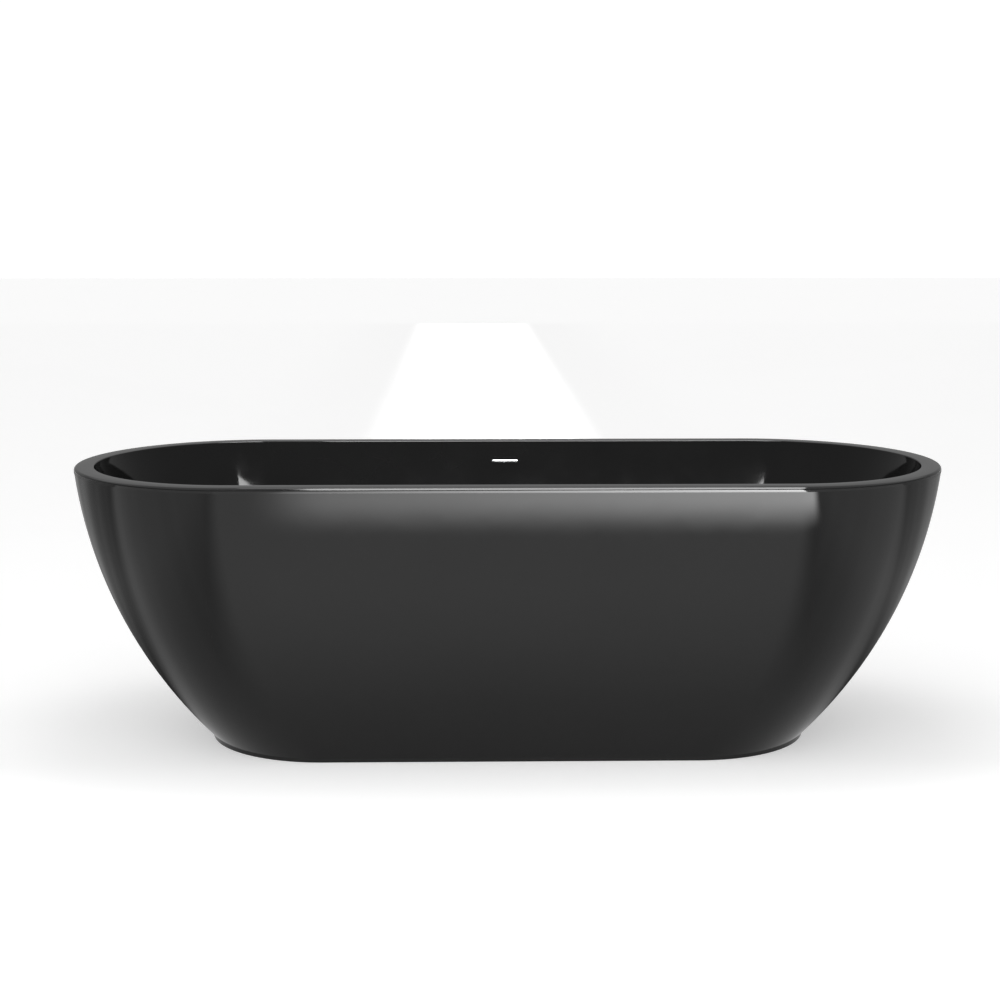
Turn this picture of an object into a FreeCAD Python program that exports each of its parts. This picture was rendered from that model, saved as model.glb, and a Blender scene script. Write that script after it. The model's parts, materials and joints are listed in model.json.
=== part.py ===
import FreeCAD, Part

import math
import os

import Sketcher
from FreeCAD import Placement, Rotation, Vector

# Freestanding double-ended bathtub, in millimetres.
# X runs along the tub, Y across it towards the overflow wall, Z up.
# The origin is on the floor under the middle of the tub, where the waste is.

SIZES = [
    ("length", 1700, "over the rim, along X"),
    ("width", 750, "over the rim, along Y"),
    ("height", 546, "floor to rim"),
    ("rim_width", 38, "flat top of the rim"),
    ("rim_thickness", 10, "depth of the rim flange"),
    ("rim_edge_radius", 6, "rounding of the outer rim edge"),
    ("rim_lip_radius", 4, "rounding where the rim turns into the basin"),
    ("end_curve", 338, "length of the rounded end at the rim"),
    ("end_curve_foot", 236, "length of the rounded end at the foot"),
    ("seam_step", 0.6, "how far the shell stands in from the rim edge"),
    ("end_lean", 6.8, "degrees off upright of the shell's end, at the rim"),
    ("end_arc", 898, "radius of the shell's end profile"),
    ("side_lean", 7.5, "degrees off upright of the shell's side, at the rim"),
    ("side_arc", 2290, "radius of the shell's side profile"),
    ("shell_wall", 6, "outer shell"),
    ("toe_height", 7.4, "upright band at the foot"),
    ("toe_width", 30, "width of the foot ring"),
    ("basin_wall", 8, "basin sheet with its glass fibre backing"),
    ("basin_floor", 115, "height of the basin floor"),
    ("basin_end_lean", 12, "degrees off upright of the backrest, at the rim"),
    ("basin_end_arc", 980, "radius of the backrest profile"),
    ("basin_side_lean", 8.5, "degrees off upright of the basin side, at the rim"),
    ("basin_side_arc", 1760, "radius of the basin side profile"),
    ("basin_end_curve", 300, "length of the basin's rounded end at the rim"),
    ("basin_floor_curve", 205, "length of the basin's rounded end at the floor"),
    ("floor_inset", 60, "rounding between basin wall and floor, across"),
    ("floor_rise", 70, "rounding between basin wall and floor, up"),
    ("bead_size", 8, "width and height of the bond bead"),
    ("board_length", 1000, "board under the basin floor"),
    ("board_width", 280, "board under the basin floor"),
    ("board_thickness", 15, "board under the basin floor"),
    ("board_corner", 60, "corner radius of the board"),
    ("board_hole_radius", 42, "hole for the waste body"),
    ("bar_side", 30, "square tube of the cradle"),
    ("bar_wall", 2, "square tube of the cradle"),
    ("bar_length", 360, "square tube of the cradle"),
    ("bar_place", 430, "cradle bar from the middle, along X"),
    ("foot_place", 150, "foot from the middle, along Y"),
    ("stud_radius", 5.9, "levelling stud"),
    ("stud_length", 72, "levelling stud"),
    ("stud_gap", 0.1, "under the stud in its socket"),
    ("running_gap", 0.05, "radial clearance of a running fit"),
    ("pad_radius", 25, "levelling foot"),
    ("pad_thickness", 8, "levelling foot"),
    ("pad_neck_radius", 11, "socket on the levelling foot"),
    ("pad_height", 20, "socket on the levelling foot"),
    ("nut_across", 19, "hexagon nut across the flats"),
    ("nut_thickness", 10, "weld nut"),
    ("lock_nut_thickness", 6, "thin lock nut"),
    ("screw_radius", 2.5, "board screw shank"),
    ("screw_head_radius", 5, "board screw head"),
    ("screw_head", 3, "board screw head height"),
    ("screw_bite", 10, "how far a screw goes into the board"),
    ("screw_place", 90, "inner pair of board screws, along Y"),
    ("bracket_wall", 3, "shell bracket plate"),
    ("bracket_width", 30, "shell bracket"),
    ("bracket_reach", 28, "shell bracket foot, along Y"),
    ("bolt_place", 200, "shell bracket bolt, along Y"),
    ("bolt_radius", 3, "shell bracket bolt"),
    ("bolt_head_radius", 5, "shell bracket bolt head"),
    ("bolt_head", 4, "shell bracket bolt head height"),
    ("bolt_gap", 0.3, "clearance around a bolt or screw"),
    ("waste_hole_radius", 26, "hole in the basin floor"),
    ("waste_seal_above", 1, "seal under the waste flange"),
    ("waste_seal_below", 3, "seal over the waste body"),
    ("flange_radius", 35, "waste flange"),
    ("flange_thickness", 2.5, "waste flange"),
    ("flange_edge", 1, "chamfer at the edges of the waste flange, up"),
    ("sleeve_radius", 23, "threaded sleeve of the waste flange"),
    ("sleeve_bore", 20, "bore of the waste flange"),
    ("sleeve_length", 28, "below the waste flange"),
    ("hub_radius", 8, "hub that holds the plug cartridge"),
    ("hub_height", 8, "hub that holds the plug cartridge"),
    ("hub_drop", 20, "hub top below the basin floor"),
    ("spoke_width", 3, "spokes of the hub"),
    ("spoke_root", 1, "how far a spoke goes into the sleeve"),
    ("body_collar_radius", 33, "top collar of the waste body"),
    ("body_collar", 4, "top collar of the waste body"),
    ("body_radius", 27, "waste body"),
    ("socket_spare", 2, "below the sleeve in the waste body"),
    ("spigot_root", 2, "how far the spigot goes into the waste body"),
    ("body_thread_radius", 23.9, "outlet thread of the waste body"),
    ("body_thread_bottom", 62, "lower end of the waste body"),
    ("body_thread_top", 74, "upper end of the outlet thread"),
    ("body_bore", 20.5, "bore of the waste body"),
    ("inlet_height", 79, "overflow inlet of the waste body"),
    ("spigot_radius", 7.95, "hose spigot"),
    ("spigot_bore", 6, "hose spigot"),
    ("spigot_end", 46, "end of the waste body's spigot, along Y"),
    ("cap_radius", 30.5, "push plug cap"),
    ("cap_thickness", 5, "push plug cap at its middle"),
    ("cap_edge", 0.8, "chamfer under the cap"),
    ("cap_side", 2.2, "top of the cap's upright edge"),
    ("cap_shoulder", 3.4, "height of the cap 5 in from its edge"),
    ("cap_crown", 4.5, "height of the cap half way to its middle"),
    ("plug_seal_bore", 4.5, "seal of the push plug"),
    ("plug_seal_radius", 19.6, "seal of the push plug"),
    ("plug_seal_height", 3.5, "seal of the push plug"),
    ("stem_radius", 3, "sliding stem of the push plug"),
    ("stem_socket", 1, "how far the stem goes into the cap"),
    ("stem_length", 22, "sliding stem of the push plug"),
    ("cartridge_radius", 5, "plug cartridge"),
    ("cartridge_length", 22, "plug cartridge"),
    ("cartridge_above", 6, "plug cartridge above its hub"),
    ("cartridge_floor", 2, "bottom of the plug cartridge"),
    ("spring_radius", 2.2, "plug spring, to the middle of the wire"),
    ("spring_wire", 0.3, "radius of the spring wire"),
    ("spring_turns", 4, "plug spring"),
    ("overflow_drop", 44, "overflow below the rim"),
    ("slot_length", 48, "overflow slot in the basin wall"),
    ("slot_height", 5, "overflow slot in the basin wall"),
    ("slot_start", 2, "where the cut of the slot starts, before the wall"),
    ("cover_length", 56, "overflow cover bar"),
    ("cover_height", 5.6, "overflow cover bar"),
    ("cover_thickness", 3, "overflow cover bar"),
    ("cover_standoff", 4, "gap behind the overflow cover bar"),
    ("peg_radius", 1.8, "pegs of the overflow cover"),
    ("peg_place", 19, "pegs of the overflow cover"),
    ("peg_length", 16, "pegs of the overflow cover"),
    ("box_length", 60, "overflow box behind the wall"),
    ("box_depth", 19, "overflow box behind the wall"),
    ("box_above", 9, "overflow box above the slot"),
    ("box_below", 22, "overflow box below the slot"),
    ("box_wall", 2, "overflow box"),
    ("box_gap", 0.4, "behind the basin wall, taken up by the seal"),
    ("box_seal", 2, "seal of the overflow box"),
    ("box_spigot", 18, "hose spigot of the overflow box"),
    ("hose_radius", 10, "overflow hose"),
    ("hose_bore", 8, "overflow hose"),
    ("hose_overlap", 16, "hose over the spigot of the waste body"),
    ("hose_box_gap", 3, "hose end below the overflow box"),
    ("hose_heel_y", 236, "corner of the hose under the basin, along Y"),
    ("hose_knee_y", 281, "corner of the hose beside the basin, along Y"),
    ("hose_knee_z", 215, "corner of the hose beside the basin, height"),
    ("hose_leg", 100, "straight run below the overflow box"),
    ("hose_heel_bend", 45, "bend radius under the basin"),
    ("hose_knee_bend", 300, "bend radius beside the basin"),
    ("hose_leg_bend", 500, "bend radius below the overflow box"),
    ("clamp_wall", 0.9, "hose clamp band"),
    ("clamp_width", 8, "hose clamp band"),
    ("clamp_place", 4, "hose clamp from the end of the hose"),
    ("trap_radius", 24, "trap inlet and riser"),
    ("trap_wall", 3, "trap"),
    ("trap_bottom", 6, "underside of the trap"),
    ("trap_neck_radius", 20, "inlet neck of the trap"),
    ("trap_neck_top", 57, "inlet neck of the trap"),
    ("trap_collar_radius", 23, "collar on top of the neck"),
    ("trap_collar", 2, "collar on top of the neck"),
    ("trap_shoulder", 50, "top of the trap's inlet leg"),
    ("trap_passage", 11, "clear height under the trap's dip wall"),
    ("riser_place", 56, "trap riser from the inlet, along X"),
    ("riser_top", 80, "top of the trap riser"),
    ("outlet_height", 56, "axis of the trap outlet"),
    ("outlet_thread_radius", 22.5, "trap outlet socket"),
    ("outlet_socket_end", 98, "trap outlet socket, along X"),
    ("pipe_radius", 20, "outlet pipe"),
    ("pipe_bore", 18, "outlet pipe"),
    ("pipe_start", 86, "outlet pipe, along X"),
    ("pipe_end", 240, "outlet pipe, along X"),
    ("bead_place", 107, "far side of the pipe's stop bead, along X"),
    ("bead_width", 3, "stop bead of the outlet pipe"),
    ("bead_radius", 22, "stop bead of the outlet pipe"),
    ("slip_nut_radius", 28.5, "slip nuts of the trap"),
    ("slip_nut_lip", 2, "lip of a slip nut"),
    ("slip_nut_depth", 15, "slip nuts of the trap"),
    ("washer_thickness", 3, "washers under the slip nuts"),
]

doc = FreeCAD.newDocument("Bathtub")
sheet = doc.addObject("Spreadsheet::Sheet", "Sizes")
for row, (alias, size, note) in enumerate(SIZES, start=1):
    sheet.set(f"A{row}", alias)
    sheet.set(f"B{row}", str(size))
    sheet.set(f"C{row}", note)
    sheet.setAlias(f"B{row}", alias)
doc.recompute()

nodes = []


def cell(text):
    """Expression text with each sheet alias written out in full."""
    words = {alias for alias, size, note in SIZES}
    out, word = [], ""
    for letter in str(text) + " ":
        if letter.isalnum() or letter == "_":
            word += letter
            continue
        out.append(f"Sizes.{word}" if word in words else word)
        out.append(letter)
        word = ""
    return "".join(out).strip()


def value(text):
    """Present value of an expression in the sheet's aliases."""
    result = sheet.evalExpression(str(text))
    return float(getattr(result, "Value", result))


# ---- small tools for bodies, sketches and features ----

def newBody(name):
    body = doc.addObject("PartDesign::Body", name)
    body.Label = name
    nodes.append(body)
    return body


def place(body, x="0", y="0", z="0"):
    for axis, text in zip("xyz", (x, y, z)):
        body.setExpression(f"Placement.Base.{axis}", cell(text))


def newSketch(body, name, role="XY_Plane", offset="0"):
    sketch = body.newObject("Sketcher::SketchObject", name)
    plane = next(f for f in body.Origin.OriginFeatures if f.Role == role)
    sketch.AttachmentSupport = (plane, [""])
    sketch.MapMode = "FlatFace"
    sketch.setExpression("AttachmentOffset.Base.z", cell(offset))
    return sketch


def bind(sketch, kind, text, *geometry):
    """Add a constraint whose size is an expression."""
    index = sketch.addConstraint(Sketcher.Constraint(kind, *geometry, value(text)))
    sketch.setExpression(f"Constraints[{index}]", cell(text))


def drawOutline(sketch, points):
    """Closed outline of straight lines through (across, up) expressions."""
    corners = [Vector(value(u), value(v), 0) for u, v in points]
    lines = []
    for start, end in zip(corners, corners[1:] + corners[:1]):
        lines.append(sketch.addGeometry(Part.LineSegment(start, end)))
    for line, following in zip(lines, lines[1:] + lines[:1]):
        sketch.addConstraint(Sketcher.Constraint("Coincident", line, 2, following, 1))
    for line, (u, v) in zip(lines, points):
        bind(sketch, "DistanceX", u, -1, 1, line, 1)
        bind(sketch, "DistanceY", v, -1, 1, line, 1)
    return sketch


def drawRectangle(sketch, low, high):
    (u0, v0), (u1, v1) = low, high
    return drawOutline(sketch, [(u0, v0), (u1, v0), (u1, v1), (u0, v1)])


def drawCircle(sketch, radius, across="0", up="0"):
    centre = Vector(value(across), value(up), 0)
    ring = sketch.addGeometry(Part.Circle(centre, Vector(0, 0, 1), value(radius)))
    bind(sketch, "DistanceX", across, -1, 1, ring, 3)
    bind(sketch, "DistanceY", up, -1, 1, ring, 3)
    bind(sketch, "Radius", radius, ring)
    return sketch


def drawOval(sketch, halfLength, halfWidth, endCurve):
    """Two straight sides joined by two half ellipses that are endCurve long."""
    wide, curve = value(halfWidth), value(endCurve)
    straight = f"({halfLength} - {endCurve})"
    ends = []
    for side in (1, -1):
        centre = Vector(side * value(straight), 0, 0)
        ellipse = Part.Ellipse(centre + Vector(0, wide, 0), centre - Vector(curve, 0, 0), centre)
        start = math.pi if side > 0 else 0
        arc = sketch.addGeometry(Part.ArcOfEllipse(ellipse, start, start + math.pi))
        ends.append(arc)
    for corner, side in ((1, 1), (-1, -1)):
        start = Vector(corner * value(straight), corner * wide, 0)
        end = Vector(-corner * value(straight), corner * wide, 0)
        line = sketch.addGeometry(Part.LineSegment(start, end))
        first, second = (ends[0], ends[1]) if side > 0 else (ends[1], ends[0])
        sketch.addConstraint(Sketcher.Constraint("Coincident", first, 2, line, 1))
        sketch.addConstraint(Sketcher.Constraint("Coincident", line, 2, second, 1))
    for arc, side in zip(ends, (1, -1)):
        major = len(sketch.Geometry)
        sketch.exposeInternalGeometry(arc)
        minor = major + 1
        tip, root = (2, 1) if side > 0 else (1, 2)
        sketch.addConstraint(Sketcher.Constraint("Coincident", major, 1, arc, tip))
        sketch.addConstraint(Sketcher.Constraint("Coincident", major, 2, arc, root))
        sketch.addConstraint(Sketcher.Constraint("PointOnObject", arc, 3, -1))
        bind(sketch, "DistanceX", f"{side} * {straight}", -1, 1, arc, 3)
        bind(sketch, "DistanceY", f"2 * {halfWidth}", major, 2, major, 1)
        bind(sketch, "DistanceX", f"2 * {endCurve}", minor, 1, minor, 2)
        sketch.addConstraint(Sketcher.Constraint("Vertical", major))
    return sketch


def pad(body, sketch, length, midplane=False, away=False):
    feature = body.newObject("PartDesign::Pad", sketch.Name + "Pad")
    feature.Profile = sketch
    feature.setExpression("Length", cell(length))
    feature.Midplane = midplane
    feature.Reversed = away
    doc.recompute()
    return feature


def pocket(body, sketch, length, midplane=False, away=False):
    """Pocket that is checked to take something away."""
    doc.recompute()
    before = body.Shape.Volume
    feature = body.newObject("PartDesign::Pocket", sketch.Name + "Pocket")
    feature.Profile = sketch
    feature.setExpression("Length", cell(length))
    feature.Midplane = midplane
    feature.Reversed = away
    doc.recompute()
    if body.Shape.Volume > before - 0.5:
        raise RuntimeError(f"{feature.Name} cuts nothing")
    return feature


def loft(body, sketches, kind="AdditiveLoft"):
    feature = body.newObject(f"PartDesign::{kind}", sketches[0].Name + "Loft")
    feature.Profile = sketches[0]
    feature.Sections = sketches[1:]
    feature.Ruled = False
    doc.recompute()
    return feature


def fillet(body, feature, radius, picked):
    """Fillet on the edges of a feature that picked(edge) accepts."""
    edges = [f"Edge{i}" for i, edge in enumerate(feature.Shape.Edges, start=1) if picked(edge)]
    if not edges:
        raise RuntimeError(f"no edge to fillet on {feature.Name}")
    rounded = body.newObject("PartDesign::Fillet", feature.Name + "Fillet")
    rounded.Base = (feature, edges)
    rounded.setExpression("Radius", cell(radius))
    doc.recompute()
    return rounded


def turn(name, points):
    """Body turned about the Z axis from (radius, height) expressions."""
    body = newBody(name)
    sketch = drawOutline(newSketch(body, f"{name}Outline", "XZ_Plane"), points)
    feature = body.newObject("PartDesign::Revolution", f"{name}Turned")
    feature.Profile = sketch
    feature.ReferenceAxis = (sketch, ["V_Axis"])
    feature.Angle = 360
    doc.recompute()
    return body


def ring(name, inner, outer, bottom, top):
    return turn(name, [(inner, bottom), (outer, bottom), (outer, top), (inner, top)])


# ---- primitives, for pieces cut from stock ----

def setSizes(item, **texts):
    for name, text in texts.items():
        item.setExpression(name, cell(text))
    return item


def cylinder(name, radius, height, x="0", y="0", z="0", lying=False):
    item = setSizes(doc.addObject("Part::Cylinder", name), Radius=radius, Height=height)
    if lying:
        item.Placement = Placement(Vector(), Rotation(Vector(0, 1, 0), 90))
    place(item, x, y, z)
    return item


def block(name, length, width, height, x, y, z):
    """Block centred on x and y that stands on z."""
    item = setSizes(doc.addObject("Part::Box", name), Length=length, Width=width, Height=height)
    place(item, f"{x} - ({length}) / 2", f"{y} - ({width}) / 2", z)
    return item


def fuse(name, items):
    whole = doc.addObject("Part::MultiFuse", name)
    whole.Shapes = items
    doc.recompute()
    return whole


def cut(name, base, tools):
    result = doc.addObject("Part::Cut", name)
    result.Base = base
    result.Tool = tools[0] if len(tools) == 1 else fuse(name + "_tools", tools)
    doc.recompute()
    return result


def keep(item, name):
    """Name a finished object as one sub-part."""
    item.Label = name
    nodes.append(item)
    return item


def group(name, items):
    whole = doc.addObject("Part::Compound", name)
    whole.Links = items
    doc.recompute()
    return keep(whole, name)


# ---- the tub's own curves ----

SEAM = "(height - rim_thickness)"


def arcAt(z, top, topHeight, lean, radius):
    """Half-size at height z on an arc that leans outwards towards its top."""
    drop = f"({topHeight} - {z} + {radius} * sin({lean} * 1 deg))"
    return f"({top} - {radius} * cos({lean} * 1 deg) + sqrt({radius} ^ 2 - {drop} ^ 2))"


def shellOutline(z, inset="0"):
    """Half-length, half-width and end curve of the shell at height z."""
    share = f"(({z} - toe_height) / ({SEAM} - toe_height))"
    halfLength = arcAt(z, "(length / 2 - seam_step)", SEAM, "end_lean", "end_arc")
    halfWidth = arcAt(z, "(width / 2 - seam_step)", SEAM, "side_lean", "side_arc")
    curve = f"(end_curve_foot + (end_curve - end_curve_foot) * {share})"
    return [f"({text} - {inset})" for text in (halfLength, halfWidth, curve)]


def basinOutline(z, outset="0"):
    """Half-length, half-width and end curve of the basin's inner face at height z."""
    share = f"(({z} - basin_floor) / (height - basin_floor))"
    topLength, topWidth = "(length / 2 - rim_width)", "(width / 2 - rim_width)"
    halfLength = arcAt(z, topLength, "height", "basin_end_lean", "basin_end_arc")
    halfWidth = arcAt(z, topWidth, "height", "basin_side_lean", "basin_side_arc")
    curve = f"(basin_floor_curve + (basin_end_curve - basin_floor_curve) * {share})"
    return [f"({text} + {outset})" for text in (halfLength, halfWidth, curve)]


def ovalStack(body, name, outline, sections):
    """Oval sketches at the (height, offset) of each section, for a loft."""
    sketches = []
    for step, (z, offset) in enumerate(sections):
        sketch = newSketch(body, f"{name}{step}", offset=z)
        sketches.append(drawOval(sketch, *outline(z, offset)))
    return sketches


def shellSections(low, inset):
    shares = (0, 0.25, 0.5, 0.75, 1)
    return [(f"({low} + {share} * ({SEAM} - {low}))", inset) for share in shares]


def basinSections(floor, top, outset):
    """A quarter ellipse rounds the wall into the floor; above it the wall is plain.

    The sections are about evenly spaced, so that the surface through them stays fair."""
    sections = []
    for turned in (0, 30, 60, 90):
        z = f"({floor} + floor_rise * (1 - cos({turned} * 1 deg)))"
        sections.append((z, f"({outset} - floor_inset * (1 - sin({turned} * 1 deg)))"))
    wall, steps = f"({floor} + floor_rise)", 11
    for step in range(1, steps + 1):
        sections.append((f"({wall} + {step} / {steps} * ({top} - {wall}))", outset))
    return sections


def flatEdge(z):
    """Picks the edges that lie level at height z."""
    level = value(z)
    return lambda edge: all(abs(corner.Z - level) < 0.01 for corner in edge.Vertexes)


# ---- shell, basin and rim ----

def makeOuterShell():
    body = newBody("outer_shell")
    outside = shellSections("toe_height", "0")
    loft(body, ovalStack(body, "ShellOuter", shellOutline, outside))
    inside = shellSections("(toe_height + shell_wall)", "shell_wall")
    loft(body, ovalStack(body, "ShellInner", shellOutline, inside), "SubtractiveLoft")
    opening = newSketch(body, "FootOpening", offset="toe_height")
    drawOval(opening, *shellOutline("toe_height", "toe_width"))
    pocket(body, opening, "shell_wall", away=True)
    drillBracketHoles(body, "toe_height", "shell_wall")


def makePlinthRing():
    body = newBody("plinth_ring")
    outline = newSketch(body, "PlinthOutline")
    drawOval(outline, *shellOutline("toe_height"))
    pad(body, outline, "toe_height")
    opening = newSketch(body, "PlinthOpening")
    drawOval(opening, *shellOutline("toe_height", "toe_width"))
    pocket(body, opening, "toe_height", away=True)
    drillBracketHoles(body, "0", "toe_height")


def drillBracketHoles(body, bottom, depth):
    """Four holes for the bracket bolts, through a plate that starts at bottom."""
    for index, (sideX, sideY) in enumerate(CORNERS):
        holes = newSketch(body, f"{body.Name}BoltHole{index}", offset=bottom)
        drawCircle(holes, "bolt_radius + bolt_gap", f"{sideX} * bar_place", f"{sideY} * bolt_place")
        pocket(body, holes, depth, away=True)


def makeInnerBasin():
    body = newBody("inner_basin")
    flange = newSketch(body, "RimOutline", offset=SEAM)
    drawOval(flange, "length / 2", "width / 2", "end_curve")
    rim = pad(body, flange, "rim_thickness")
    fillet(body, rim, "rim_edge_radius", flatEdge("height"))
    skin = basinSections("(basin_floor - basin_wall)", f"({SEAM} + rim_thickness / 3)", "basin_wall")
    loft(body, ovalStack(body, "BasinSkin", basinOutline, skin))
    inside = basinSections("basin_floor", "height", "0")
    cavity = loft(body, ovalStack(body, "BasinInside", basinOutline, inside), "SubtractiveLoft")
    level, lip = flatEdge("height"), value("width / 2 - rim_width") + 1
    fillet(body, cavity, "rim_lip_radius",
           lambda edge: level(edge) and all(abs(corner.Y) < lip for corner in edge.Vertexes))
    hole = drawCircle(newSketch(body, "WasteHole", offset="basin_floor"), "waste_hole_radius")
    pocket(body, hole, "basin_wall")
    slot = newSketch(body, "OverflowSlot")
    slot.setExpression("AttachmentOffset.Base.z", None)
    before = Placement(Vector(0, 0, value("slot_start")), Rotation())
    slot.AttachmentOffset = wallPlacement().multiply(before)
    drawRectangle(slot, ("-slot_length / 2", "-slot_height / 2"),
                  ("slot_length / 2", "slot_height / 2"))
    pocket(body, slot, "2 * basin_wall")


def makeBondBead():
    body = newBody("rim_bond_bead")
    low = f"({SEAM} - bead_size)"
    outline = newSketch(body, "BeadOutline", offset=low)
    drawOval(outline, *shellOutline(low, "shell_wall"))
    pad(body, outline, "bead_size")
    opening = newSketch(body, "BeadOpening", offset=low)
    drawOval(opening, *shellOutline(low, "(shell_wall + bead_size)"))
    pocket(body, opening, "bead_size", away=True)


# ---- board, cradle and feet ----

CORNERS = [(-1, -1), (1, -1), (-1, 1), (1, 1)]
BOARD_TOP = "(basin_floor - basin_wall)"
BOARD_BOTTOM = f"({BOARD_TOP} - board_thickness)"
BAR_BOTTOM = f"({BOARD_BOTTOM} - bar_side)"


def cornerName(piece, sideX, sideY):
    return f"{piece}_{'front' if sideY < 0 else 'rear'}_{'left' if sideX < 0 else 'right'}"


def screwPlaces():
    """Board screws: two on each cradle bar."""
    return [(f"{sideX} * bar_place", f"{sideY} * screw_place") for sideX, sideY in CORNERS]


def makeFloorBoard():
    body = newBody("floor_board")
    outline = newSketch(body, "BoardOutline", offset=BOARD_BOTTOM)
    low = ("-board_length / 2", "-board_width / 2")
    high = ("board_length / 2", "board_width / 2")
    drawRectangle(outline, low, high)
    board = pad(body, outline, "board_thickness")
    fillet(body, board, "board_corner", lambda edge: edge.BoundBox.ZLength > 1)
    hole = newSketch(body, "BoardHole", offset=BOARD_BOTTOM)
    pocket(body, drawCircle(hole, "board_hole_radius"), "board_thickness", away=True)
    for index, (x, y) in enumerate(screwPlaces()):
        pilot = newSketch(body, f"BoardPilot{index}", offset=BOARD_BOTTOM)
        drawCircle(pilot, "screw_radius + bolt_gap", x, y)
        pocket(body, pilot, "screw_bite + bolt_gap", away=True)


def makeCradleBar(side, name):
    x = f"{side} * bar_place"
    stock = block(f"{name}_stock", "bar_side", "bar_length", "bar_side", x, "0", BAR_BOTTOM)
    inner = "bar_side - 2 * bar_wall"
    bore = block(f"{name}_bore", inner, "bar_length + 2", inner, x, "0", f"{BAR_BOTTOM} + bar_wall")
    tools = [bore]
    for end in (-1, 1):
        stud = cylinder(f"{name}_stud_hole{end + 1}", "stud_radius + 1", "2 * bar_wall",
                        x, f"{end} * foot_place", f"{BAR_BOTTOM} - bar_wall / 2")
        screw = cylinder(f"{name}_screw_hole{end + 1}", "screw_radius + bolt_gap", "bar_side + 2",
                         x, f"{end} * screw_place", f"{BAR_BOTTOM} - 1")
        tools += [stud, screw]
    keep(cut(f"{name}_cut", stock, tools), name)


def makeBoardScrews():
    screws = []
    for index, (x, y) in enumerate(screwPlaces()):
        head = cylinder(f"screw_head{index}", "screw_head_radius", "screw_head",
                        x, y, f"{BAR_BOTTOM} - screw_head")
        shank = cylinder(f"screw_shank{index}", "screw_radius", "bar_side + screw_bite",
                         x, y, BAR_BOTTOM)
        screws.append(fuse(f"screw{index}", [head, shank]))
    group("board_screws", screws)


def makeNuts(name, top, thickness):
    """One hexagon nut around each levelling stud."""
    nuts = []
    for index, (sideX, sideY) in enumerate(CORNERS):
        nut = doc.addObject("Part::Prism", f"{name}_hexagon{index}")
        nut.Polygon = 6
        setSizes(nut, Circumradius="nut_across / sqrt(3)", Height=thickness)
        x, y, z = f"{sideX} * bar_place", f"{sideY} * foot_place", f"{top} - {thickness}"
        place(nut, x, y, z)
        bore = cylinder(f"{name}_bore{index}", "stud_radius + running_gap", f"{thickness} + 2",
                        x, y, f"{z} - 1")
        nuts.append(cut(f"{name}_nut{index}", nut, [bore]))
    group(name, nuts)


def makeFoot(sideX, sideY):
    x, y = f"{sideX} * bar_place", f"{sideY} * foot_place"
    neck = "pad_neck_radius"
    socket = "stud_radius + running_gap"
    floor = "pad_thickness / 2"
    foot = turn(cornerName("foot_pad", sideX, sideY), [
        ("0", "0"), ("pad_radius", "0"), ("pad_radius", "pad_thickness / 2"),
        (neck, "pad_thickness"), (neck, "pad_height"), (socket, "pad_height"),
        (socket, floor), ("0", floor),
    ])
    stud = turn(cornerName("foot_stud", sideX, sideY), [
        ("0", f"{floor} + stud_gap"), ("stud_radius", f"{floor} + stud_gap"),
        ("stud_radius", f"{floor} + stud_length"), ("0", f"{floor} + stud_length"),
    ])
    for body in (foot, stud):
        place(body, x, y)


def makeBracket(sideX, sideY):
    """Plate down from the end of a cradle bar, with a foot on the shell's flange."""
    name = cornerName("shell_bracket", sideX, sideY)
    x = f"{sideX} * bar_place"
    top, bottom = f"{BAR_BOTTOM} + bar_side", "toe_height + shell_wall"
    start = "bar_length / 2"
    upright = block(f"{name}_upright", "bracket_width", "bracket_wall", f"{top} - ({bottom})",
                    x, f"{sideY} * ({start} + bracket_wall / 2)", bottom)
    foot = block(f"{name}_foot", "bracket_width", "bracket_reach", "bracket_wall",
                 x, f"{sideY} * ({start} + bracket_reach / 2)", bottom)
    hole = cylinder(f"{name}_hole", "bolt_radius + bolt_gap", "bracket_wall + 2",
                    x, f"{sideY} * bolt_place", f"{bottom} - 1")
    keep(cut(f"{name}_cut", fuse(f"{name}_plates", [upright, foot]), [hole]), name)


def makeBracketBolts():
    bolts = []
    for index, (sideX, sideY) in enumerate(CORNERS):
        x, y = f"{sideX} * bar_place", f"{sideY} * bolt_place"
        top = "toe_height + shell_wall + bracket_wall"
        head = cylinder(f"bolt_head{index}", "bolt_head_radius", "bolt_head", x, y, top)
        shank = cylinder(f"bolt_shank{index}", "bolt_radius", f"{top} - 1", x, y, "1")
        bolts.append(fuse(f"bolt{index}", [head, shank]))
    group("bracket_bolts", bolts)


# ---- waste and push plug ----

FLANGE_BOTTOM = "(basin_floor + waste_seal_above)"
FLANGE_TOP = f"({FLANGE_BOTTOM} + flange_thickness)"
HUB_TOP = "(basin_floor - hub_drop)"
BODY_TOP = "(basin_floor - basin_wall - waste_seal_below)"


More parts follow.
